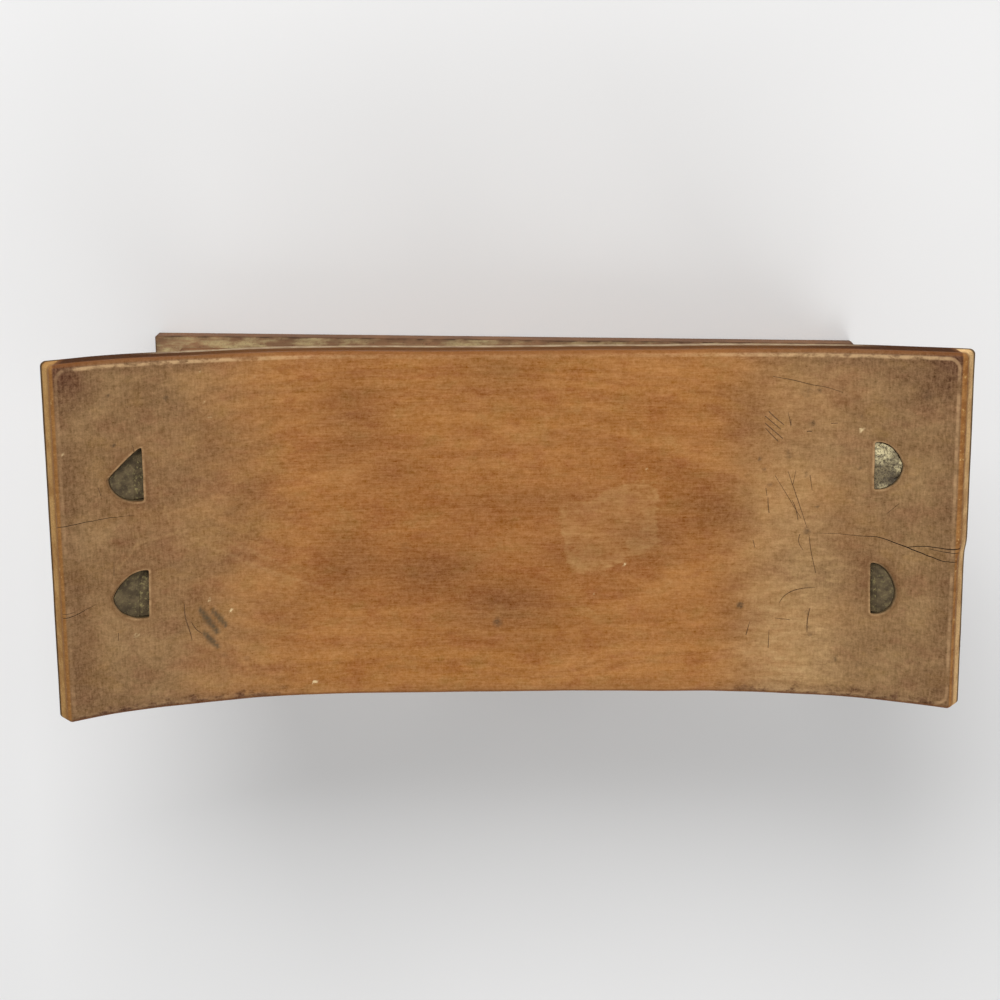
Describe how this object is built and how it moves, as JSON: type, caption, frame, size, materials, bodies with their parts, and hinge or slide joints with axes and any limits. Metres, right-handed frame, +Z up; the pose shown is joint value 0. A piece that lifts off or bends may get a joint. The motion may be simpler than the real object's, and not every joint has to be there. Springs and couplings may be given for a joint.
{
  "type": "ashanti stool",
  "caption": "Low wooden stool with a wide crescent seat on half-round corner posts and a pierced round column, standing on a stepped base.",
  "frame": {"origin": "on the floor, below the middle of the seat", "axes": "+X along the seat's length, +Y to the back, +Z up"},
  "size_m": [0.585, 0.229, 0.3109],
  "materials": {
    "seat_wood": "waxed by long use, warm brown, darker at the ends",
    "base_wood": "dull tan-brown, worn along its edges",
    "leg_wood": "hand-carved, softly polished",
    "joint_wood": "dark olive end grain with dust",
    "pale_filler": "crusty pale filler, dry and pitted"
  },
  "bodies": {
    "root": {"seat": "seat_wood", "base": "base_wood", "drum": "leg_wood", "post_back_left": "leg_wood", "post_back_right": "leg_wood", "post_front_left": "leg_wood", "post_front_right": "leg_wood", "wedge_back_left": "joint_wood", "wedge_back_right": "joint_wood", "wedge_front_left": "joint_wood", "wedge_front_right": "joint_wood", "peg_back_left": "joint_wood", "peg_back_right": "joint_wood", "peg_front_left": "joint_wood", "peg_front_right": "joint_wood", "mortise_filler": "pale_filler"}
  },
  "joints": []
}
